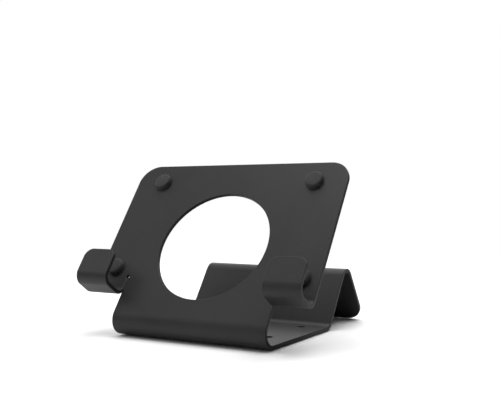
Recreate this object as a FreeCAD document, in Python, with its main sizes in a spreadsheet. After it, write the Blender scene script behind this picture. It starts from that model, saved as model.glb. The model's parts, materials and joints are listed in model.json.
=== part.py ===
import FreeCAD, Part

import math
import os
import re

import Sketcher

# Tablet stand: one folded aluminium sheet with soft pads on it. It stands on four thin pads under its base
# plate and on the edge of its rear foot.
#
# The sheet is laser cut, then folded. A strip as wide as the base runs down the front panel, turns under
# into the base plate, up into the rear wall, over a hump and down to the rear foot. The backrest is wider
# than that strip, and its two side strips are folded forward into J-shaped hooks that hold a tablet.
#
# Frame: millimetres, +Z up, +Y towards the back, +X to the right of someone facing the tablet. The origin
# is on the surface the stand rests on, in the middle of the footprint.
#
# Heights "up the panel" are measured along the leaning front face, from the line where that face,
# carried on straight, would meet the underside of the base plate (the front corner).

DIMENSIONS = {
    "sheet_thick": 2.5,
    "lean": 35.0,  # degrees from vertical, of the backrest, the rear wall and the rear foot
    "front_corner_y": -80.0,
    "base_width": 110.5,
    "base_depth": 97.4,  # front corner to rear corner
    "foot_reach": 57.1,  # rear corner to the edge of the rear foot
    "front_bend_radius": 7.2,  # bend radii are those of the inner face
    "rear_bend_radius": 5.5,
    "hump_bend_radius": 6.5,
    "foot_corner_radius": 12.0,
    "overall_width": 160.0,
    "backrest_length": 133.6,  # up the panel, to the top edge
    "backrest_corner_radius": 14.0,
    "opening_diameter": 78.0,
    "opening_height": 70.1,
    "slit_width": 0.6,  # laser slit between the front panel and each hook
    "slit_height": 44.0,
    "relief_diameter": 2.4,  # round end of the slit
    "ledge_height": 32.0,  # up the panel, to the upper face of the hooks' ledges
    "hook_gap": 17.3,  # front face of the backrest to the inner face of the lips
    "hook_bend_radius": 4.5,
    "lip_height": 52.4,
    "lip_corner_radius": 6.0,
    "screw_hole_diameter": 5.4,
    "screw_spacing_across": 78.5,
    "screw_spacing_along": 44.5,
    "screw_centre_y": -15.5,
    "bumper_diameter": 12.0,
    "bumper_thick": 3.3,
    "bumper_rim_radius": 1.6,
    "bumper_upper_across": 116.0,
    "bumper_upper_height": 119.0,
    "bumper_lower_across": 136.0,
    "bumper_lower_height": 50.0,
    "pad_thick": 0.6,
    "pad_width": 22.0,
    "pad_depth": 11.0,
    "pad_corner_radius": 3.0,
    "pad_across": 76.0,
    "pad_front_y": -53.5,
    "pad_rear_y": -4.5,
}

SHEET_NAME = "Dims"
EDGE_TOLERANCE = 0.05

doc = FreeCAD.newDocument("TabletStand")
sheet = doc.addObject("Spreadsheet::Sheet", SHEET_NAME)
for row, (alias, value) in enumerate(DIMENSIONS.items(), start=1):
    sheet.set("A%d" % row, alias)
    sheet.set("B%d" % row, str(value))
    sheet.setAlias("B%d" % row, alias)
doc.recompute()


def dim(alias):
    """The value that the sheet holds under this alias."""
    return float(sheet.get(alias))


def bound(formula):
    """A formula over the sheet's aliases, as an expression for setExpression."""
    return re.sub(
        "[a-z_]+",
        lambda word: SHEET_NAME + "." + word[0] if word[0] in DIMENSIONS else word[0],
        formula,
    )


def value_of(formula):
    """The number that the same formula gives now. Angles are in degrees, as they are in expressions."""
    total = doc.getObject(SHEET_NAME).evalExpression(bound(formula))
    return float(getattr(total, "Value", total))


# Named places, as formulas (y, z) over the sheet's aliases.
def up_the_panel(height, forward="0"):
    """A point of the side view: height up the panel's front face, then forward, square to that face."""
    y = "front_corner_y + %s * sin(lean) - %s * cos(lean)" % (height, forward)
    z = "pad_thick + %s * cos(lean) + %s * sin(lean)" % (height, forward)
    return y, z


TOP_EDGE = up_the_panel("backrest_length")
FRONT_CORNER = up_the_panel("0")
REAR_CORNER = ("front_corner_y + base_depth", "pad_thick")
FOOT_EDGE = ("front_corner_y + base_depth + foot_reach", "0")
LEDGE_CORNER = up_the_panel("ledge_height")
LIP_END = up_the_panel("lip_height", "hook_gap")

DOWN_THE_PANEL = "270 - lean"
TO_THE_BACK = "0"
UP_THE_WALL = "90 - lean"
DOWN_THE_FOOT = "lean - 90"
ALONG_THE_LEDGE = "180 - lean"


def new_body(label):
    body = doc.addObject("PartDesign::Body", label)
    body.Label = label
    return body


def origin_plane(body, role):
    return next(plane for plane in body.Origin.OriginFeatures if plane.Role == role)


def new_sketch(body, name, role):
    sketch = body.newObject("Sketcher::SketchObject", name)
    sketch.AttachmentSupport = (origin_plane(body, role), "")
    sketch.MapMode = "FlatFace"
    return sketch


def new_panel_sketch(body, name):
    """A sketch in the panel's front face: X across, Y up the panel, origin on the front corner."""
    sketch = new_sketch(body, name, "XY_Plane")
    sketch.AttachmentOffset = FreeCAD.Placement(
        FreeCAD.Vector(0, dim("front_corner_y"), dim("pad_thick")),
        FreeCAD.Rotation(FreeCAD.Vector(1, 0, 0), 90 - dim("lean")),
    )
    sketch.setExpression(".AttachmentOffset.Base.y", bound("front_corner_y"))
    sketch.setExpression(".AttachmentOffset.Base.z", bound("pad_thick"))
    sketch.setExpression(".AttachmentOffset.Rotation.Angle", bound("90 - lean"))
    return sketch


def constrain(sketch, name, formula, kind, *references):
    """Adds a dimension to the sketch and binds it to the sheet."""
    number = value_of(formula)
    if kind == "Angle":
        number = math.radians(number)
    index = sketch.addConstraint(Sketcher.Constraint(kind, *references, number))
    sketch.renameConstraint(index, name)
    sketch.setExpression("Constraints." + name, bound(formula))
    return index


def place_point(sketch, name, geometry, end, place):
    """Fixes a point of the sketch at a named place."""
    constrain(sketch, name + "_y", place[0], "DistanceX", -1, 1, geometry, end)
    constrain(sketch, name + "_z", place[1], "DistanceY", -1, 1, geometry, end)


def heading_vector(degrees):
    return FreeCAD.Vector(math.cos(math.radians(degrees)), math.sin(math.radians(degrees)), 0)


def crossing(point_a, heading_a, point_b, heading_b):
    """Where two straight lines of the side view would meet."""
    a = heading_vector(heading_a)
    b = heading_vector(heading_b)
    between = point_b - point_a
    along = (between.x * b.y - between.y * b.x) / (a.x * b.y - a.y * b.x)
    return point_a + a * along


def folded_profile(sketch, start, end, flats, bend_radii):
    """Draws the side view of a folded sheet of even thickness.

    The near face starts at start and ends at end. Each flat is (heading, a place that it runs through),
    and the sheet lies on the left of it. Each bend's radius is that of its inner face.
    """
    thick = dim("sheet_thick")
    headings = [value_of(heading) for heading, _ in flats]
    points = [FreeCAD.Vector(value_of(y), value_of(z), 0) for _, (y, z) in flats]
    start_point = FreeCAD.Vector(value_of(start[0]), value_of(start[1]), 0)
    end_point = FreeCAD.Vector(value_of(end[0]), value_of(end[1]), 0)

    # Which way each bend turns, its tangent points, and its centre, which both faces share.
    corners = []
    for i, radius_formula in enumerate(bend_radii):
        turn = (headings[i + 1] - headings[i] + 180) % 360 - 180
        left = 1 if turn > 0 else -1
        near_radius = value_of(radius_formula) + (thick if left > 0 else 0)
        corner = crossing(points[i], headings[i], points[i + 1], headings[i + 1])
        reach = near_radius * math.tan(math.radians(abs(turn) / 2))
        entry = corner - heading_vector(headings[i]) * reach
        leave = corner + heading_vector(headings[i + 1]) * reach
        centre = entry + heading_vector(headings[i] + 90 * left) * near_radius
        corners.append((left, near_radius, entry, leave, centre))

    faces = []
    for side in (0, 1):
        shift = [heading_vector(heading + 90) * (thick * side) for heading in headings]
        lines = []
        for i in range(len(flats)):
            begin = start_point if i == 0 else corners[i - 1][3]
            finish = end_point if i == len(flats) - 1 else corners[i][2]
            lines.append(sketch.addGeometry(Part.LineSegment(begin + shift[i], finish + shift[i])))
        arcs = []
        for i, (left, near_radius, _, _, centre) in enumerate(corners):
            radius = near_radius - thick * side * left
            circle = Part.Circle(centre, FreeCAD.Vector(0, 0, 1), radius)
            angles = sorted((0, (headings[i + 1] - headings[i] + 180) % 360 - 180))
            from_angle = headings[i] - 90 * left
            arc = Part.ArcOfCircle(
                circle,
                math.radians(from_angle + angles[0]),
                math.radians(from_angle + angles[1]),
            )
            arcs.append(sketch.addGeometry(arc))
        for i, (left, _, _, _, _) in enumerate(corners):
            arc_entry, arc_leave = (1, 2) if left > 0 else (2, 1)
            sketch.addConstraint(Sketcher.Constraint("Tangent", lines[i], 2, arcs[i], arc_entry))
            sketch.addConstraint(Sketcher.Constraint("Tangent", arcs[i], arc_leave, lines[i + 1], 1))
        faces.append((lines, arcs))

    (near_lines, near_arcs), (far_lines, far_arcs) = faces
    for i, (heading, place) in enumerate(flats):
        if heading == "0":
            sketch.addConstraint(Sketcher.Constraint("Horizontal", near_lines[i]))
        else:
            constrain(sketch, "heading_%d" % i, heading, "Angle", near_lines[i])
        sketch.addConstraint(Sketcher.Constraint("Parallel", near_lines[i], far_lines[i]))
        if 0 < i < len(flats) - 1:
            guide = sketch.addGeometry(Part.Point(points[i]), True)
            place_point(sketch, "guide_%d" % i, guide, 1, place)
            sketch.addConstraint(Sketcher.Constraint("PointOnObject", guide, 1, near_lines[i]))
    for i, radius_formula in enumerate(bend_radii):
        inner_arc = far_arcs[i] if corners[i][0] > 0 else near_arcs[i]
        constrain(sketch, "bend_%d" % i, radius_formula, "Radius", inner_arc)
        sketch.addConstraint(Sketcher.Constraint("Coincident", near_arcs[i], 3, far_arcs[i], 3))
    place_point(sketch, "start", near_lines[0], 1, start)
    place_point(sketch, "end", near_lines[-1], 2, end)

    def square_end(near, far, point):
        near_end = sketch.getPoint(near, point)
        far_end = sketch.getPoint(far, point)
        cap = sketch.addGeometry(Part.LineSegment(near_end, far_end))
        sketch.addConstraint(Sketcher.Constraint("Coincident", cap, 1, near, point))
        sketch.addConstraint(Sketcher.Constraint("Coincident", cap, 2, far, point))
        sketch.addConstraint(Sketcher.Constraint("Perpendicular", cap, near))
        return cap

    first_cap = square_end(near_lines[0], far_lines[0], 1)
    constrain(sketch, "thickness", "sheet_thick", "Distance", first_cap)
    square_end(near_lines[-1], far_lines[-1], 2)


def centred_rectangle(sketch, width, bottom, top):
    """A rectangle that is even about the sketch's Y axis, between two heights."""
    half = value_of(width) / 2
    low = value_of(bottom)
    high = value_of(top)
    corners = [
        FreeCAD.Vector(-half, low, 0),
        FreeCAD.Vector(half, low, 0),
        FreeCAD.Vector(half, high, 0),
        FreeCAD.Vector(-half, high, 0),
    ]
    sides = [
        sketch.addGeometry(Part.LineSegment(corners[i], corners[(i + 1) % 4]))
        for i in range(4)
    ]
    for i in range(4):
        sketch.addConstraint(Sketcher.Constraint("Coincident", sides[i], 2, sides[(i + 1) % 4], 1))
    sketch.addConstraint(Sketcher.Constraint("Symmetric", sides[0], 1, sides[0], 2, -2))
    for side, kind in zip(sides[1:], ("Vertical", "Horizontal", "Vertical")):
        sketch.addConstraint(Sketcher.Constraint(kind, side))
    constrain(sketch, "width", width, "DistanceX", sides[0], 1, sides[0], 2)
    constrain(sketch, "bottom", bottom, "DistanceY", -1, 1, sides[0], 1)
    constrain(sketch, "top", top, "DistanceY", -1, 1, sides[2], 1)


def circle_at(sketch, name, across, up, diameter):
    """A circle whose centre is across and up from the sketch's origin."""
    centre = FreeCAD.Vector(value_of(across), value_of(up), 0)
    circle = sketch.addGeometry(
        Part.Circle(centre, FreeCAD.Vector(0, 0, 1), value_of(diameter) / 2)
    )
    constrain(sketch, name + "_diameter", diameter, "Diameter", circle)
    if across == "0":
        sketch.addConstraint(Sketcher.Constraint("PointOnObject", circle, 3, -2))
    else:
        constrain(sketch, name + "_across", across, "DistanceX", -1, 1, circle, 3)
    constrain(sketch, name + "_up", up, "DistanceY", -1, 1, circle, 3)


def add_pad(body, name, sketch, length, midplane=False, reverse=False):
    pad = body.newObject("PartDesign::Pad", name)
    pad.Profile = sketch
    pad.Length = value_of(length)
    pad.setExpression("Length", bound(length))
    pad.Midplane = midplane
    pad.Reversed = reverse
    sketch.Visibility = False
    doc.recompute()
    return pad


def add_pocket(body, name, sketch, depth, midplane=False, reverse=False):
    """Cuts the sketch out of the body, and checks that it removed something."""
    volume_before = body.Shape.Volume
    pocket = body.newObject("PartDesign::Pocket", name)
    pocket.Profile = sketch
    pocket.Length = value_of(depth)
    pocket.setExpression("Length", bound(depth))
    pocket.Midplane = midplane
    pocket.Reversed = reverse
    doc.recompute()
    if not body.Shape.Volume < volume_before - EDGE_TOLERANCE:
        raise RuntimeError(name + " cut nothing")
    return pocket


def add_corner_fillet(body, name, radius, is_corner):
    """Rounds every straight edge of the body for which is_corner(middle, direction) holds."""
    base = body.Tip
    names = []
    for number, edge in enumerate(base.Shape.Edges, start=1):
        if not isinstance(edge.Curve, Part.Line):
            continue
        ends = [vertex.Point for vertex in edge.Vertexes]
        span = ends[1] - ends[0]
        if is_corner((ends[0] + ends[1]) / 2, span):
            names.append("Edge%d" % number)
    if not names:
        raise RuntimeError(name + " found no edges")
    fillet = body.newObject("PartDesign::Fillet", name)
    fillet.Base = (base, names)
    fillet.Radius = value_of(radius)
    fillet.setExpression("Radius", bound(radius))
    doc.recompute()
    return fillet


# ---- folded body -------------------------------------------------------------------------------------


def through_the_sheet(span):
    """Whether an edge is as long as the sheet is thick, and square to X."""
    return abs(span.x) < EDGE_TOLERANCE and abs(span.Length - dim("sheet_thick")) < EDGE_TOLERANCE


def panel_height(point):
    """How far up the panel a point of the body is."""
    lean = math.radians(dim("lean"))
    y = point.y - dim("front_corner_y")
    z = point.z - dim("pad_thick")
    return y * math.sin(lean) + z * math.cos(lean)


def make_folded_body():
    body = new_body("folded_body")

    # The strip: front panel, base plate, rear wall, hump and rear foot.
    side_view = new_sketch(body, "strip_side_view", "YZ_Plane")
    folded_profile(
        side_view,
        start=TOP_EDGE,
        end=FOOT_EDGE,
        flats=[
            (DOWN_THE_PANEL, TOP_EDGE),
            (TO_THE_BACK, FRONT_CORNER),
            (UP_THE_WALL, REAR_CORNER),
            (DOWN_THE_FOOT, FOOT_EDGE),
        ],
        bend_radii=["front_bend_radius", "rear_bend_radius", "hump_bend_radius"],
    )
    add_pad(body, "strip", side_view, "base_width", midplane=True)

    # The backrest plate, above the slits and as wide as the whole stand.
    plate = new_panel_sketch(body, "backrest_outline")
    centred_rectangle(plate, "overall_width", "slit_height", "backrest_length")
    add_pad(body, "backrest", plate, "sheet_thick", reverse=True)

    # The right hook: the arm beside the front panel, the ledge and the lip. The left one mirrors it.
    hook_view = new_sketch(body, "hook_side_view", "YZ_Plane")
    hook_view.AttachmentOffset = FreeCAD.Placement(
        FreeCAD.Vector(0, 0, value_of("base_width / 2 + slit_width")), FreeCAD.Rotation()
    )
    hook_view.setExpression(".AttachmentOffset.Base.z", bound("base_width / 2 + slit_width"))
    folded_profile(
        hook_view,
        start=TOP_EDGE,
        end=LIP_END,
        flats=[
            (DOWN_THE_PANEL, TOP_EDGE),
            (ALONG_THE_LEDGE, LEDGE_CORNER),
            (UP_THE_WALL, LIP_END),
        ],
        bend_radii=["hook_bend_radius", "hook_bend_radius"],
    )
    right_hook = add_pad(
        body, "right_hook", hook_view, "(overall_width - base_width) / 2 - slit_width"
    )
    left_hook = body.newObject("PartDesign::Mirrored", "left_hook")
    left_hook.Originals = [right_hook]
    left_hook.MirrorPlane = (origin_plane(body, "YZ_Plane"), [""])
    body.Tip = left_hook
    doc.recompute()

    # Round ends of the slits, the round opening and the screw holes.
    reliefs = new_panel_sketch(body, "slit_ends")
    for name, sign in (("left", "-1"), ("right", "1")):
        across = sign + " * (base_width / 2 + slit_width / 2)"
        circle_at(reliefs, name, across, "slit_height", "relief_diameter")
    add_pocket(body, "slit_relief", reliefs, "4 * sheet_thick", midplane=True)

    opening = new_panel_sketch(body, "opening_outline")
    circle_at(opening, "opening", "0", "opening_height", "opening_diameter")
    add_pocket(body, "round_opening", opening, "4 * sheet_thick", midplane=True)

    holes = new_sketch(body, "screw_hole_layout", "XY_Plane")
    for along_name, along in (("front", "-1"), ("rear", "1")):
        for across_name, across in (("left", "-1"), ("right", "1")):
            circle_at(
                holes,
                along_name + "_" + across_name,
                across + " * screw_spacing_across / 2",
                "screw_centre_y + " + along + " * screw_spacing_along / 2",
                "screw_hole_diameter",
            )
    add_pocket(body, "screw_holes", holes, "pad_thick + 2 * sheet_thick", reverse=True)

    # Rounded free corners.
    half_width = dim("overall_width") / 2
    add_corner_fillet(
        body,
        "backrest_corners",
        "backrest_corner_radius",
        lambda middle, span: through_the_sheet(span)
        and abs(abs(middle.x) - half_width) < EDGE_TOLERANCE
        and abs(panel_height(middle) - dim("backrest_length")) < EDGE_TOLERANCE,
    )
    add_corner_fillet(
        body,
        "lip_corners",
        "lip_corner_radius",
        lambda middle, span: through_the_sheet(span)
        and abs(panel_height(middle) - dim("lip_height")) < EDGE_TOLERANCE
        and middle.y < value_of(LIP_END[0]) + EDGE_TOLERANCE,
    )
    add_corner_fillet(
        body,
        "foot_corners",
        "foot_corner_radius",
        lambda middle, span: through_the_sheet(span)
        and middle.y > value_of(FOOT_EDGE[0])
        and middle.z < dim("pad_thick") + dim("sheet_thick"),
    )
    return body


# ---- soft pads ---------------------------------------------------------------------------------------


def bind_placement(body, place, angle):
    """Puts a body at a place (x, y, z), turned about X, and binds all of it to the sheet."""
    body.Placement = FreeCAD.Placement(
        FreeCAD.Vector(*(value_of(formula) for formula in place)),
        FreeCAD.Rotation(FreeCAD.Vector(1, 0, 0), value_of(angle)),
    )
    for axis, formula in zip("xyz", place):
        body.setExpression(".Placement.Base." + axis, bound(formula))
    if angle != "0":
        body.setExpression(".Placement.Rotation.Angle", bound(angle))
    return body


def make_bumper(label, across, height):
    """A round silicone bumper, stuck flat on the front face of the backrest."""
    body = new_body(label)
    outline = new_sketch(body, label + "_outline", "XY_Plane")
    circle = outline.addGeometry(
        Part.Circle(FreeCAD.Vector(), FreeCAD.Vector(0, 0, 1), dim("bumper_diameter") / 2)
    )
    outline.addConstraint(Sketcher.Constraint("Coincident", circle, 3, -1, 1))
    constrain(outline, "diameter", "bumper_diameter", "Diameter", circle)
    pad = add_pad(body, label + "_disc", outline, "bumper_thick")
    rim = next(
        "Edge%d" % number
        for number, edge in enumerate(pad.Shape.Edges, start=1)
        if edge.Closed and edge.CenterOfMass.z > dim("bumper_thick") / 2
    )
    fillet = body.newObject("PartDesign::Fillet", label + "_rim")
    fillet.Base = (pad, [rim])
    fillet.Radius = dim("bumper_rim_radius")
    fillet.setExpression("Radius", bound("bumper_rim_radius"))
    y, z = up_the_panel(height)
    return bind_placement(body, (across, y, z), "90 - lean")


def make_base_pad(label, across, y):
    """A thin rounded non-slip pad, stuck under the base plate."""
    body = new_body(label)
    outline = new_sketch(body, label + "_outline", "XY_Plane")
    centred_rectangle(outline, "pad_width", "-1 * pad_depth / 2", "pad_depth / 2")
    add_pad(body, label + "_slab", outline, "pad_thick")
    add_corner_fillet(
        body,
        label + "_corners",
        "pad_corner_radius",
        lambda middle, span: abs(span.x) < EDGE_TOLERANCE and abs(span.y) < EDGE_TOLERANCE,
    )
    return bind_placement(body, (across, y, "0"), "0")


parts = [make_folded_body()]
SIDES = (("left", "-1"), ("right", "1"))
for level in ("upper", "lower"):
    for side, sign in SIDES:
        across = "%s * bumper_%s_across / 2" % (sign, level)
        parts.append(
            make_bumper("backrest_bumper_%s_%s" % (level, side), across, "bumper_%s_height" % level)
        )
for end in ("front", "rear"):
    for side, sign in SIDES:
        parts.append(
            make_base_pad("base_pad_%s_%s" % (end, side), sign + " * pad_across / 2", "pad_%s_y" % end)
        )
doc.recompute()

for item in doc.Objects:
    if "Invalid" in item.State or "Error" in item.State:
        raise RuntimeError("%s failed: %s" % (item.Label, item.State))
os.makedirs("parts", exist_ok=True)
for part in parts:
    shape = part.Shape
    if shape.isNull() or not shape.isValid() or len(shape.Solids) != 1:
        raise RuntimeError(part.Label + " is not one valid solid")
for part in parts:
    part.Shape.exportStep("parts/%s.step" % part.Label)
    box = part.Shape.BoundBox
    print(
        "%-30s volume %9.1f  x %7.2f %7.2f  y %7.2f %7.2f  z %7.2f %7.2f"
        % (part.Label, part.Shape.Volume, box.XMin, box.XMax, box.YMin, box.YMax, box.ZMin, box.ZMax)
    )
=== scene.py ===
import json
import math

import bmesh
import bpy
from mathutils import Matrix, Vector
from mathutils.geometry import tessellate_polygon


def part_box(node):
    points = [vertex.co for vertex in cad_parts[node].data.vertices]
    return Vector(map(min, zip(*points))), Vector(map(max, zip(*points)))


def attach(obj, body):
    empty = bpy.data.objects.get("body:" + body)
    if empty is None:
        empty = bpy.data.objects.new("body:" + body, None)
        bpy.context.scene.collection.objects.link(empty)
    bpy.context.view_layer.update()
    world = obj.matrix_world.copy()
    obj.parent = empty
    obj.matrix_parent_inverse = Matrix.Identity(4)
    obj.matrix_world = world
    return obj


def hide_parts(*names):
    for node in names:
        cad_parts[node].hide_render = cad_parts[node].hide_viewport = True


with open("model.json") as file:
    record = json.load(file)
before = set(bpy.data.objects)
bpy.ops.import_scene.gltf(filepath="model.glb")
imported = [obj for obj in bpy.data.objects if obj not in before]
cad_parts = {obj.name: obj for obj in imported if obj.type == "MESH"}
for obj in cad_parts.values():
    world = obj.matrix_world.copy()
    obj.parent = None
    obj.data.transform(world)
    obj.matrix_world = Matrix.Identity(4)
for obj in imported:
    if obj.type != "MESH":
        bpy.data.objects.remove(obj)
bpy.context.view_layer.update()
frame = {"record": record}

# Tablet stand: one folded sheet, round bumpers on its backrest, and thin pads under it.
# Everything is in metres in the part's own frame: +Z up, +Y to the back, +X to the viewer's right.

# ---- sizes --------------------------------------------------------------------------------------------

MM_PER_M = 1000

# In millimetres, as on the drawing. SIZE holds the same in metres.
DRAWING = {
    "thick": 2.5,
    "front_corner_y": -80.0,
    "base_width": 110.5,
    "base_depth": 97.4,
    "foot_reach": 57.1,
    "front_bend": 7.2,
    "rear_bend": 5.5,
    "hump_bend": 6.5,
    "foot_corner": 12.0,
    "backrest_length": 133.6,
    "backrest_corner": 14.0,
    "opening_diameter": 78.0,
    "opening_height": 70.1,
    "slit": 0.6,
    "slit_height": 44.0,
    "relief_diameter": 2.4,
    "ledge_height": 32.0,
    "hook_gap": 17.3,
    "hook_bend": 4.5,
    "lip_height": 52.4,
    "lip_corner": 6.0,
    "screw_diameter": 5.4,
    "edge_round": 0.35,
    "bumper_radius": 6.0,
    "bumper_upper_height": 119.0,
    "bumper_lower_height": 50.0,
    "pad_corner": 3.0,
}
SIZE = {name: value / MM_PER_M for name, value in DRAWING.items()}
LEAN = math.radians(35)

# Profiles of a bumper and a pad, in millimetres from the glued face up. The foot lists (inset, height).
BUMPER_FOOT = [(0.15, 0.0), (0.15, 0.2), (0.0, 0.26), (0.0, 0.4)]
# The side leans in by the taper, up to a rim of that radius. The rim ends at the top's height, and the
# middle of the top stands higher by the crown. The crown's rings are shares of the top's radius.
BUMPER_TAPER = 0.18
BUMPER_RIM = 1.35
BUMPER_TOP = 3.16
BUMPER_CROWN = 0.14
CROWN_RINGS = (0.8, 0.6, 0.4, 0.2, 0.05)
PAD_SOFTENING = 0.12

# How finely the curves are divided.
BEND_STEP = math.radians(4)
EDGE_STEPS = 4
CORNER_STEPS = 16
RELIEF_STEPS = 28
OPENING_POINTS = 160
SCREW_POINTS = 48
BUMPER_POINTS = 72
BUMPER_RIM_STEPS = 8
PAD_CORNER_STEPS = 8
FLOOR_POINTS = 96

# Limits for joining, dividing and shading the meshes.
RUN_TOLERANCE = 1e-9
CUT_TOLERANCE = 1e-7
FLAT_ENOUGH = math.radians(0.2)
SHARP_FROM = math.radians(50)
LEAST_MITRE_COSINE = 0.5

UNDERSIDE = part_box("base_pad_front_left")[1].z
HALF_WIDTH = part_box("folded_body")[1].x
STRIP_HALF = SIZE["base_width"] / 2
HOOK_FROM = STRIP_HALF + SIZE["slit"]


# ---- the folded sheet ---------------------------------------------------------------------------------


def direction(angle):
    """The unit vector at an angle from the first axis."""
    return Vector((math.cos(angle), math.sin(angle)))


def up_the_panel(height, forward=0.0):
    """A side-view point (y, z): height up the panel's front face, then forward, square to it."""
    along = Vector((math.sin(LEAN), math.cos(LEAN))) * height
    out = Vector((-math.cos(LEAN), math.sin(LEAN))) * forward
    return Vector((SIZE["front_corner_y"], UNDERSIDE)) + along + out


def meeting(point_a, heading_a, point_b, heading_b):
    """Where two straight lines of the side view meet."""
    a, b, gap = direction(heading_a), direction(heading_b), point_b - point_a
    return point_a + a * ((gap.x * b.y - gap.y * b.x) / (a.x * b.y - a.y * b.x))


class Fold:
    """The side view of a folded sheet, measured along its near face. The sheet lies on the left of it."""

    def __init__(self, start, end, flats, radii):
        headings = [heading for heading, _ in flats]
        points = [point for _, point in flats]
        self.runs = []
        self.length = 0.0
        at = start
        for i, inner_radius in enumerate(radii):
            turn = (headings[i + 1] - headings[i] + math.pi) % (2 * math.pi) - math.pi
            radius = inner_radius + (SIZE["thick"] if turn > 0 else 0)
            corner = meeting(points[i], headings[i], points[i + 1], headings[i + 1])
            reach = radius * math.tan(abs(turn) / 2)
            entry = corner - direction(headings[i]) * reach
            self.add(at, headings[i], (entry - at).length, 0.0)
            self.add(entry, headings[i], radius * abs(turn), math.copysign(1 / radius, turn))
            at = corner + direction(headings[i + 1]) * reach
        self.add(at, headings[-1], (end - at).length, 0.0)

    def add(self, point, heading, length, curvature):
        self.runs.append((self.length, length, point, heading, curvature))
        self.length += length

    def cuts(self):
        """Distances along the sheet at which it has to be divided to bend smoothly."""
        found = []
        for begin, length, _, _, curvature in self.runs:
            if curvature:
                steps = max(1, round(length * abs(curvature) / BEND_STEP))
                found += [begin + length * i / steps for i in range(steps + 1)]
        return found

    def at(self, distance):
        """The point of the near face at a distance, and the heading there."""
        begin, length, point, heading, curvature = next(
            run for run in reversed(self.runs) if distance >= run[0] - RUN_TOLERANCE or run is self.runs[0]
        )
        along = distance - begin
        if not curvature:
            return point + direction(heading) * along, heading
        turned = heading + along * curvature
        centre = point + direction(heading + math.pi / 2) / curvature
        return centre - direction(turned + math.pi / 2) / curvature, turned

    def place(self, x, distance, depth, across, along, into):
        """Folds a point of the flat sheet, and the normal there given as (across, along, into)."""
        point, heading = self.at(distance)
        forward, left = direction(heading), direction(heading + math.pi / 2)
        at = point + left * depth
        normal = forward * along + left * into
        return Vector((x, at.x, at.y)), Vector((across, normal.x, normal.y))


DOWN = 1.5 * math.pi - LEAN
UP_BACK = 0.5 * math.pi - LEAN
top_edge = up_the_panel(SIZE["backrest_length"])
front_corner = up_the_panel(0)
rear_corner = front_corner + Vector((SIZE["base_depth"], 0))
foot_edge = rear_corner + Vector((SIZE["foot_reach"], -UNDERSIDE))
ledge_corner = up_the_panel(SIZE["ledge_height"])
lip_end = up_the_panel(SIZE["lip_height"], SIZE["hook_gap"])

strip_fold = Fold(
    top_edge,
    foot_edge,
    [(DOWN, top_edge), (0.0, front_corner), (UP_BACK, rear_corner), (-UP_BACK, foot_edge)],
    [SIZE["front_bend"], SIZE["rear_bend"], SIZE["hump_bend"]],
)
hook_fold = Fold(
    top_edge,
    lip_end,
    [(DOWN, top_edge), (math.pi - LEAN, ledge_corner), (UP_BACK, lip_end)],
    [SIZE["hook_bend"], SIZE["hook_bend"]],
)


def arc(centre, radius, from_angle, to_angle, steps):
    """Points along an arc, both ends included."""
    return [
        centre + direction(from_angle + (to_angle - from_angle) * i / steps) * radius
        for i in range(steps + 1)
    ]


def rounded(corner, radius, from_angle, steps=CORNER_STEPS):
    """A quarter circle that rounds an outward corner, running anticlockwise from from_angle."""
    middle = from_angle + math.pi / 4
    reach_x = math.copysign(radius, math.cos(middle))
    reach_y = math.copysign(radius, math.sin(middle))
    centre = corner - Vector((reach_x, reach_y))
    return arc(centre, radius, from_angle, from_angle + math.pi / 2, steps)


def flat_outline():
    """The sheet before it was folded, anticlockwise. Its top edge is at height 0, with the rest below."""
    foot = -strip_fold.length
    lip = -hook_fold.length
    slit_top = -(SIZE["backrest_length"] - SIZE["slit_height"])
    relief = SIZE["relief_diameter"] / 2
    dip = math.asin(SIZE["slit"] / 2 / relief)
    relief_centre = Vector((STRIP_HALF + SIZE["slit"] / 2, slit_top))
    keyhole = arc(relief_centre, relief, 1.5 * math.pi - dip, dip - 0.5 * math.pi, RELIEF_STEPS)
    right = rounded(Vector((STRIP_HALF, foot)), SIZE["foot_corner"], -math.pi / 2)
    right += keyhole
    right += rounded(Vector((HOOK_FROM, lip)), SIZE["lip_corner"], math.pi)
    right += rounded(Vector((HALF_WIDTH, lip)), SIZE["lip_corner"], -math.pi / 2)
    right += rounded(Vector((HALF_WIDTH, 0)), SIZE["backrest_corner"], 0)
    left = [Vector((-point.x, point.y)) for point in reversed(right)]
    return right + left


def flat_holes():
    """The round opening and the screw holes in the flat sheet, clockwise."""
    screws = next(m for m in frame["record"]["mounts"] if m["name"] == "base_screws")
    # The strip's runs are the panel, the front bend, and then the flat base plate.
    base_begin, _, base_point, _, _ = strip_fold.runs[2]
    middle = base_begin + screws["pos_m"][1] - base_point.x
    opening_down = SIZE["backrest_length"] - SIZE["opening_height"]
    rounds = [(0.0, opening_down, SIZE["opening_diameter"] / 2, OPENING_POINTS)]
    for x_side in (-1, 1):
        for y_side in (-1, 1):
            x = x_side * screws["dims"]["spacing_x_mm"] / (2 * MM_PER_M)
            down = middle + y_side * screws["dims"]["spacing_y_mm"] / (2 * MM_PER_M)
            rounds.append((x, down, SIZE["screw_diameter"] / 2, SCREW_POINTS))
    return [arc(Vector((x, -down)), radius, 2 * math.pi, 0, n)[:-1] for x, down, radius, n in rounds]


def outward_normals(loop):
    """For each corner of a loop with the sheet on its left: the unit normal, and the factor of a mitre."""
    found = []
    for i, point in enumerate(loop):
        before = (point - loop[i - 1]).normalized()
        after = (loop[(i + 1) % len(loop)] - point).normalized()
        middle = Vector((before.y + after.y, -before.x - after.x)).normalized()
        cosine = middle.dot(Vector((after.y, -after.x)))
        found.append((middle, 1 / max(LEAST_MITRE_COSINE, cosine)))
    return found


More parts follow.
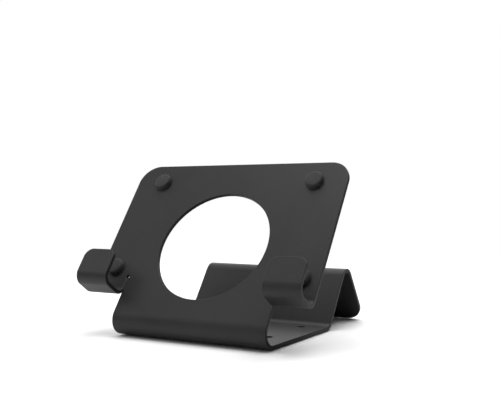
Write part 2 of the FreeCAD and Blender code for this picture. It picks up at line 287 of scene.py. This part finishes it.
def edge_profile():
    """The sheet's rounded edge, from the near face to the far one: (inset, depth, outward, into)."""
    radius = SIZE["edge_round"]
    near = []
    for i in range(EDGE_STEPS + 1):
        angle = math.pi / 2 * i / EDGE_STEPS
        outward, down = math.sin(angle), math.cos(angle)
        near.append((radius * (1 - outward), radius * (1 - down), outward, -down))
    far = [(inset, SIZE["thick"] - depth, out, -into) for inset, depth, out, into in reversed(near)]
    return near + far


def add_edge(bm, flat_normal, loop):
    """The rounded edge of the flat sheet round one loop. Gives its rings at the near and the far face."""
    normals = outward_normals(loop)
    rings = []
    for inset, depth, outward, into in edge_profile():
        ring = []
        for point, (normal, mitre) in zip(loop, normals):
            place = point - normal * (inset * mitre)
            vert = bm.verts.new((place.x, place.y, depth))
            vert[flat_normal] = (normal.x * outward, normal.y * outward, into)
            ring.append(vert)
        rings.append(ring)
    for near, far in zip(rings, rings[1:]):
        for i in range(len(loop)):
            bm.faces.new((near[i - 1], far[i - 1], far[i], near[i]))
    return rings[0], rings[-1]


def fill_face(bm, loops, flip):
    """Closes one face of the flat sheet between its outline and its holes."""
    verts = [vert for loop in loops for vert in loop]
    for triangle in tessellate_polygon([[vert.co for vert in loop] for loop in loops]):
        a, b, c = (verts[i] for i in triangle)
        up = (b.co - a.co).cross(c.co - a.co).z
        bm.faces.new((a, c, b) if (up > 0) == flip else (a, b, c))


def divide_at_bends(bm):
    """Cuts the flat sheet across wherever a bend needs an edge."""
    for cut in sorted(set(strip_fold.cuts() + hook_fold.cuts())):
        everything = bm.verts[:] + bm.edges[:] + bm.faces[:]
        bmesh.ops.bisect_plane(
            bm, geom=everything, dist=CUT_TOLERANCE, plane_co=(0, -cut, 0), plane_no=(0, 1, 0)
        )


def fold_up(bm, flat_normal):
    """Folds the flat sheet. What lies outside the slits follows the hooks, and the rest the strip."""
    hook_side = STRIP_HALF + SIZE["slit"] / 2
    for vert in bm.verts:
        x, height, depth = vert.co
        fold = hook_fold if abs(x) > hook_side else strip_fold
        across, up, into = vert[flat_normal]
        vert.co, vert[flat_normal] = fold.place(x, -height, depth, across, -up, into)


def make_sheet(name):
    """The folded body: the flat sheet with rounded edges, divided along its bends, then folded."""
    bm = bmesh.new()
    flat_normal = bm.verts.layers.float_vector.new("flat_normal")
    edges = [add_edge(bm, flat_normal, loop) for loop in [flat_outline()] + flat_holes()]
    fill_face(bm, [near for near, _ in edges], flip=False)
    fill_face(bm, [far for _, far in edges], flip=True)
    divide_at_bends(bm)
    fold_up(bm, flat_normal)
    bmesh.ops.dissolve_limit(bm, angle_limit=FLAT_ENOUGH, verts=bm.verts[:], edges=bm.edges[:])
    normals = [Vector(vert[flat_normal]).normalized() for vert in bm.verts]
    bm.verts.layers.float_vector.remove(flat_normal)
    mesh = smooth_mesh(name, bm)
    mesh.normals_split_custom_set_from_vertices(normals)
    return add_piece(name, mesh)


def smooth_mesh(name, bm):
    """Turns the built faces into a smoothly shaded mesh."""
    for face in bm.faces:
        face.smooth = True
    mesh = bpy.data.meshes.new(name)
    bm.to_mesh(mesh)
    bm.free()
    return mesh


def add_piece(name, mesh):
    """Puts a mesh in the scene as an object of that name."""
    piece = bpy.data.objects.new(name, mesh)
    bpy.context.scene.collection.objects.link(piece)
    return piece


# ---- bumpers and pads ---------------------------------------------------------------------------------


def bumper_profile():
    """A tapered silicone button on a thin glue layer, with a rounded rim and a slightly crowned top."""
    profile = list(BUMPER_FOOT)
    centre_inset, centre_height = BUMPER_TAPER + BUMPER_RIM, BUMPER_TOP - BUMPER_RIM
    for point in arc(Vector((0, 0)), BUMPER_RIM, 0, math.pi / 2, BUMPER_RIM_STEPS):
        profile.append((centre_inset - point.x, centre_height + point.y))
    top_radius = DRAWING["bumper_radius"] - centre_inset
    for share in CROWN_RINGS:
        inset = DRAWING["bumper_radius"] - top_radius * share
        profile.append((inset, BUMPER_TOP + BUMPER_CROWN * (1 - share**2)))
    return profile


def pad_profile(thick):
    """A thin die-cut pad with softened edges."""
    soft = PAD_SOFTENING
    return [(soft, 0.0), (soft / 3, soft / 3), (0.0, soft), (0.0, thick - soft), (soft, thick)]


def make_stacked(name, outline, profile, to_space):
    """A closed piece: the outline, stacked up along a profile of (inset, height) in millimetres."""
    bm = bmesh.new()
    normals = outward_normals(outline)
    rings = []
    for inset, height in profile:
        ring = []
        for point, (normal, mitre) in zip(outline, normals):
            at = point - normal * (inset / MM_PER_M * mitre)
            ring.append(bm.verts.new(to_space(at.x, at.y, height / MM_PER_M)))
        rings.append(ring)
    for low, high in zip(rings, rings[1:]):
        for i in range(len(outline)):
            bm.faces.new((low[i - 1], low[i], high[i], high[i - 1]))
    bm.faces.new(reversed(rings[0]))
    bm.faces.new(rings[-1])
    mesh = smooth_mesh(name, bm)
    mesh.set_sharp_from_angle(angle=SHARP_FROM)
    return add_piece(name, mesh)


def make_bumper(name, node, height_up):
    """A bumper on the panel's front face, where its CAD node is."""
    low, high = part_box(node)
    middle = (low.x + high.x) / 2

    def to_space(x, y, out):
        at = up_the_panel(height_up + y, out)
        return Vector((middle + x, at.x, at.y))

    outline = arc(Vector((0, 0)), SIZE["bumper_radius"], 0, 2 * math.pi, BUMPER_POINTS)[:-1]
    return make_stacked(name, outline, bumper_profile(), to_space)


def make_base_pad(name, node):
    """A pad between the base plate and the surface that the stand rests on."""
    low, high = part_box(node)
    corners = ((high.x, low.y), (high.x, high.y), (low.x, high.y), (low.x, low.y))
    outline = []
    for quarter, corner in enumerate(corners):
        from_angle = (quarter - 1) * math.pi / 2
        outline += rounded(Vector(corner), SIZE["pad_corner"], from_angle, PAD_CORNER_STEPS)
    thick = (high.z - low.z) * MM_PER_M
    return make_stacked(name, outline, pad_profile(thick), lambda x, y, z: Vector((x, y, low.z + z)))


# ---- materials ----------------------------------------------------------------------------------------


def new_material(name):
    """A new material, its node tree and its shader."""
    material = bpy.data.materials.new(name)
    material.use_nodes = True
    tree = material.node_tree
    return material, tree, tree.nodes["Principled BSDF"]


def set_inputs(node, values):
    for name, value in values.items():
        node.inputs[name].default_value = value


def add_node(tree, kind, inputs=None, **settings):
    """A node with some of its unlinked inputs and its own settings filled in."""
    node = tree.nodes.new(kind)
    set_inputs(node, inputs or {})
    for name, value in settings.items():
        setattr(node, name, value)
    return node


def add_noise(tree, scale, detail, roughness):
    """The value of a noise texture laid out in the object's own space."""
    place = add_node(tree, "ShaderNodeTexCoord").outputs["Object"]
    noise = add_node(tree, "ShaderNodeTexNoise", {"Scale": scale, "Detail": detail, "Roughness": roughness})
    tree.links.new(place, noise.inputs["Vector"])
    return noise.outputs["Fac"]


def add_tone(tree, shader, value, dark, light):
    """Colours the shader between two tones, each given as (position, red, green, blue)."""
    tone = add_node(tree, "ShaderNodeValToRGB")
    for element, (position, *colour) in zip(tone.color_ramp.elements, (dark, light)):
        element.position = position
        element.color = (*colour, 1)
    tree.links.new(value, tone.inputs["Fac"])
    tree.links.new(tone.outputs["Color"], shader.inputs["Base Color"])


def add_gloss(tree, shader, value, limits):
    """Varies the shader's roughness with a value."""
    gloss = add_node(tree, "ShaderNodeMapRange", limits)
    tree.links.new(value, gloss.inputs["Value"])
    tree.links.new(gloss.outputs["Result"], shader.inputs["Roughness"])


def add_bump(tree, value, strength, distance, below=None):
    """Raises the surface by a value, on top of any bump below it."""
    bump = add_node(tree, "ShaderNodeBump", {"Strength": strength, "Distance": distance})
    tree.links.new(value, bump.inputs["Height"])
    if below:
        tree.links.new(below, bump.inputs["Normal"])
    return bump.outputs["Normal"]


def powder_coat():
    """Satin, nearly black powder coat, with orange peel and a fine grain."""
    material, tree, shader = new_material("powder_coat")
    set_inputs(shader, {"Specular IOR Level": 0.30})
    peel = add_noise(tree, scale=420.0, detail=2.0, roughness=0.5)
    grain = add_noise(tree, scale=3200.0, detail=2.0, roughness=0.6)
    broad = add_noise(tree, scale=28.0, detail=3.0, roughness=0.55)
    add_tone(tree, shader, broad, (0.3, 0.0130, 0.0130, 0.0133), (0.7, 0.0172, 0.0171, 0.0174))
    add_gloss(tree, shader, grain, {"From Min": 0.3, "From Max": 0.7, "To Min": 0.44, "To Max": 0.57})
    coarse = add_bump(tree, peel, strength=0.5, distance=0.00005)
    fine = add_bump(tree, grain, strength=0.55, distance=0.00002, below=coarse)
    tree.links.new(fine, shader.inputs["Normal"])
    return material


def silicone():
    """Matt black silicone with a faint sheen, haze and speckle."""
    material, tree, shader = new_material("silicone")
    set_inputs(shader, {"Sheen Weight": 0.06, "Sheen Roughness": 0.5})
    speckle = add_noise(tree, scale=2400.0, detail=3.0, roughness=0.6)
    haze = add_noise(tree, scale=160.0, detail=2.0, roughness=0.5)
    add_tone(tree, shader, haze, (0.3, 0.0120, 0.0120, 0.0125), (0.75, 0.0200, 0.0200, 0.0205))
    add_gloss(tree, shader, speckle, {"To Min": 0.68, "To Max": 0.86})
    bump = add_bump(tree, speckle, strength=0.4, distance=0.00003)
    tree.links.new(bump, shader.inputs["Normal"])
    return material


coat = powder_coat()
rubber = silicone()

sheet = make_sheet("folded_sheet")
sheet.data.materials.append(coat)
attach(sheet, "root")
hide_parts("folded_body")

for side in ("left", "right"):
    for level in ("upper", "lower"):
        node = f"backrest_bumper_{level}_{side}"
        bumper = make_bumper(f"silicone_bumper_{level}_{side}", node, SIZE[f"bumper_{level}_height"])
        bumper.data.materials.append(rubber)
        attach(bumper, "root")
        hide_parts(node)
    for end in ("front", "rear"):
        node = f"base_pad_{end}_{side}"
        pad = make_base_pad(f"non_slip_pad_{end}_{side}", node)
        pad.data.materials.append(rubber)
        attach(pad, "root")
        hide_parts(node)

# ---- floor, light and camera --------------------------------------------------------------------------

FLOOR_RADIUS = 1.6
# The floor is solid up to the first distance from the origin, and has faded out at the second.
FLOOR_FADE = {"From Min": 0.22, "From Max": 0.90}
FLOOR_LOOK = {"Base Color": (0.88, 0.88, 0.88, 1), "Roughness": 0.55, "Specular IOR Level": 0.15}
WHITE = (1, 1, 1, 1)
AMBIENT = 0.12
BACKDROP = 1.0
LIGHTS_AIM = Vector((0, 0, 0.05))
# Name, place, width and height of the soft box, and power in watts.
LIGHTS = (
    ("overhead", (0.0, 0.1, 1.2), (1.2, 1.2), 19),
    ("front_left", (-0.9, -0.8, 0.9), (0.8, 0.8), 3.8),
    ("low_front", (-0.2, -1.2, 0.25), (0.8, 0.4), 1.1),
    ("left_low", (-1.1, 0.05, 0.35), (0.7, 0.5), 3),
    ("back_left", (-0.8, 1.0, 0.5), (0.9, 0.6), 4),
    ("back_top", (0.0, 1.1, 0.9), (1.0, 0.6), 6),
)
# The camera stands level, to the right of the front. Its lens and sensor are in millimetres.
CAMERA_PLACE = (0.26694, -0.45486, 0.08622)
CAMERA_AZIMUTH = math.radians(30)
CAMERA_LENS = 56.3
CAMERA_SENSOR = 36
CAMERA_RANGE = (0.01, 20)


def make_floor():
    """A pale studio floor that fades out into the white backdrop well away from the stand."""
    mesh = bpy.data.meshes.new("floor")
    rim = arc(Vector((0, 0)), FLOOR_RADIUS, 0, 2 * math.pi, FLOOR_POINTS)[:-1]
    mesh.from_pydata([(p.x, p.y, 0) for p in rim], [], [range(len(rim))])
    floor = add_piece("floor", mesh)
    material, tree, shader = new_material("studio_floor")
    set_inputs(shader, FLOOR_LOOK)
    place = add_node(tree, "ShaderNodeTexCoord").outputs["Object"]
    reach = add_node(tree, "ShaderNodeVectorMath", operation="LENGTH")
    fade = add_node(tree, "ShaderNodeMapRange", FLOOR_FADE, interpolation_type="SMOOTHSTEP")
    mixer = add_node(tree, "ShaderNodeMixShader")
    clear = add_node(tree, "ShaderNodeBsdfTransparent")
    tree.links.new(place, reach.inputs[0])
    tree.links.new(reach.outputs["Value"], fade.inputs["Value"])
    tree.links.new(fade.outputs["Result"], mixer.inputs["Fac"])
    tree.links.new(shader.outputs["BSDF"], mixer.inputs[1])
    tree.links.new(clear.outputs["BSDF"], mixer.inputs[2])
    tree.links.new(mixer.outputs["Shader"], tree.nodes["Material Output"].inputs["Surface"])
    mesh.materials.append(material)


def make_studio():
    """A white backdrop, with a dimmer room lighting the object than the backdrop shows."""
    world = bpy.data.worlds.new("studio")
    bpy.context.scene.world = world
    world.use_nodes = True
    tree = world.node_tree
    room = tree.nodes["Background"]
    set_inputs(room, {"Color": WHITE, "Strength": AMBIENT})
    backdrop = add_node(tree, "ShaderNodeBackground", {"Color": WHITE, "Strength": BACKDROP})
    mixer = add_node(tree, "ShaderNodeMixShader")
    path = add_node(tree, "ShaderNodeLightPath")
    tree.links.new(path.outputs["Is Camera Ray"], mixer.inputs["Fac"])
    tree.links.new(room.outputs["Background"], mixer.inputs[1])
    tree.links.new(backdrop.outputs["Background"], mixer.inputs[2])
    tree.links.new(mixer.outputs["Shader"], tree.nodes["World Output"].inputs["Surface"])


def area_light(name, place, size, power):
    """A soft box that faces the stand."""
    light = bpy.data.lights.new(name, "AREA")
    light.shape = "RECTANGLE"
    light.size, light.size_y = size
    light.energy = power
    lamp = bpy.data.objects.new(name, light)
    bpy.context.scene.collection.objects.link(lamp)
    lamp.location = place
    aim = LIGHTS_AIM - lamp.location
    lamp.rotation_euler = aim.to_track_quat("-Z", "Y").to_euler()


def make_camera():
    """The camera of the photo's view."""
    camera_data = bpy.data.cameras.new("camera")
    camera_data.sensor_width = CAMERA_SENSOR
    camera_data.lens = CAMERA_LENS
    camera_data.clip_start, camera_data.clip_end = CAMERA_RANGE
    camera = bpy.data.objects.new("camera", camera_data)
    bpy.context.scene.collection.objects.link(camera)
    camera.location = CAMERA_PLACE
    camera.rotation_euler = (math.pi / 2, 0, CAMERA_AZIMUTH)
    bpy.context.scene.camera = camera


make_floor()
make_studio()
for name, place, size, power in LIGHTS:
    area_light(name, place, size, power)
make_camera()
bpy.context.scene.view_settings.view_transform = "Standard"
